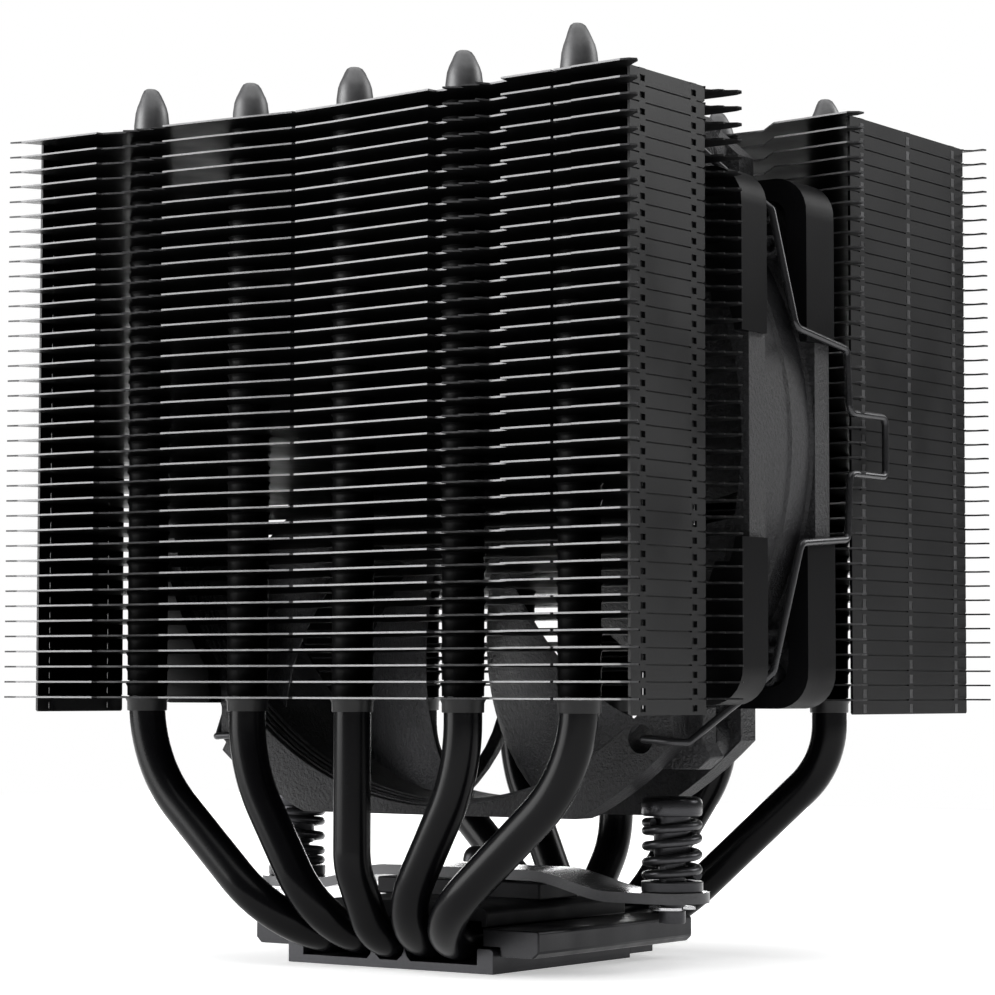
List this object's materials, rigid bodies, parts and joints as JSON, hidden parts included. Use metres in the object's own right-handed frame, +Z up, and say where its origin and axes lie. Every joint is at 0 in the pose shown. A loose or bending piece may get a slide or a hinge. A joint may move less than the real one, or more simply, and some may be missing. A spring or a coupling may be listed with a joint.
{
  "type": "cpu tower cooler",
  "caption": "Black dual tower processor cooler: looped heat pipes from a small base through two fin stacks, with a clipped-in fan and sprung mounting screws.",
  "frame": {"origin": "middle of the contact area on the underside of the base plate", "axes": "+Z up from the base to the pipe tips, +X along the width of the fins, +Y from the narrow tower through the fan to the deep tower, the way the air blows"},
  "size_m": [0.125, 0.113, 0.1462],
  "materials": {
    "nickel_plate": "satin plating over copper",
    "black_pipe": "satin black",
    "black_fin": "satin black",
    "black_bar": "gloss black",
    "screw_steel": "black nickel",
    "spring_steel": "black nickel",
    "frame_plastic": "fine grained",
    "blade_plastic": "glass filled, fine grained",
    "pad_rubber": "matte",
    "bright_steel": "bright",
    "bearing_brass": "sintered",
    "coil_copper": "enamelled",
    "magnet": "moulded ferrite",
    "circuit_board": "solder mask"
  },
  "bodies": {
    "root": {"base_plate": "nickel_plate", "base_clamp": "nickel_plate", "wing_bar_left": "nickel_plate", "wing_bar_right": "nickel_plate", "fin_stack_front": "black_fin", "fin_stack_rear": "black_fin", "crossbar": "black_bar", "crossbar_screw": "screw_steel", "screw_spring_left": "spring_steel", "screw_spring_right": "spring_steel", "thrust_washer_left": "screw_steel", "thrust_washer_right": "screw_steel", "fan_frame": "frame_plastic", "bearing_sleeve": "bearing_brass", "stator_stack": "bright_steel", "stator_coils": "coil_copper", "motor_circuit_board": "circuit_board", "heatpipe_1": "black_pipe", "heatpipe_2": "black_pipe", "heatpipe_3": "black_pipe", "heatpipe_4": "black_pipe", "heatpipe_5": "black_pipe", "pad_front_top_left": "pad_rubber", "pad_front_top_right": "pad_rubber", "pad_front_bottom_left": "pad_rubber", "pad_front_bottom_right": "pad_rubber", "pad_rear_top_left": "pad_rubber", "pad_rear_top_right": "pad_rubber", "pad_rear_bottom_left": "pad_rubber", "pad_rear_bottom_right": "pad_rubber"},
    "fan_rotor": {"impeller": "blade_plastic", "rotor_cup": "bright_steel", "rotor_magnet": "magnet", "rotor_shaft": "bright_steel", "shaft_retainer": "bright_steel"},
    "clip_left": {"fan_clip_left": "bright_steel"},
    "clip_right": {"fan_clip_right": "bright_steel"},
    "screw_carrier_left": {"retaining_clip_left": "bright_steel"},
    "screw_carrier_right": {"retaining_clip_right": "bright_steel"},
    "screw_left": {"spring_screw_left": "screw_steel"},
    "screw_right": {"spring_screw_right": "screw_steel"}
  },
  "joints": [
    {"name": "fan_spin", "type": "hinge", "parent": "root", "child": "fan_rotor", "pos_m": [0, 0.0019, 0.084], "axis": [0, 1, 0], "continuous": true},
    {"name": "clip_left_swing", "type": "hinge", "parent": "root", "child": "clip_left", "pos_m": [-0.0405, -0.0108, 0.084], "axis": [0, 0, 1], "range_deg": [0, 4.5], "stiffness_Nm_per_rad": 0.02},
    {"name": "screw_left_travel", "type": "slide", "parent": "root", "child": "screw_carrier_left", "axis": [0, 0, 1], "range_m": [-0.004, 0], "stiffness_N_per_m": 60, "springref_m": 0.004, "deforming": ["screw_spring_left"]},
    {"name": "screw_left_turn", "type": "hinge", "parent": "screw_carrier_left", "child": "screw_left", "pos_m": [-0.0385, 0.001, 0.0133], "axis": [0, 0, 1], "continuous": true},
    {"name": "clip_right_swing", "type": "hinge", "parent": "root", "child": "clip_right", "pos_m": [0.0405, -0.0108, 0.084], "axis": [0, 0, 1], "range_deg": [-4.5, 0], "stiffness_Nm_per_rad": 0.02},
    {"name": "screw_right_travel", "type": "slide", "parent": "root", "child": "screw_carrier_right", "axis": [0, 0, 1], "range_m": [-0.004, 0], "stiffness_N_per_m": 60, "springref_m": 0.004, "deforming": ["screw_spring_right"]},
    {"name": "screw_right_turn", "type": "hinge", "parent": "screw_carrier_right", "child": "screw_right", "pos_m": [0.0385, 0.001, 0.0133], "axis": [0, 0, 1], "continuous": true}
  ]
}
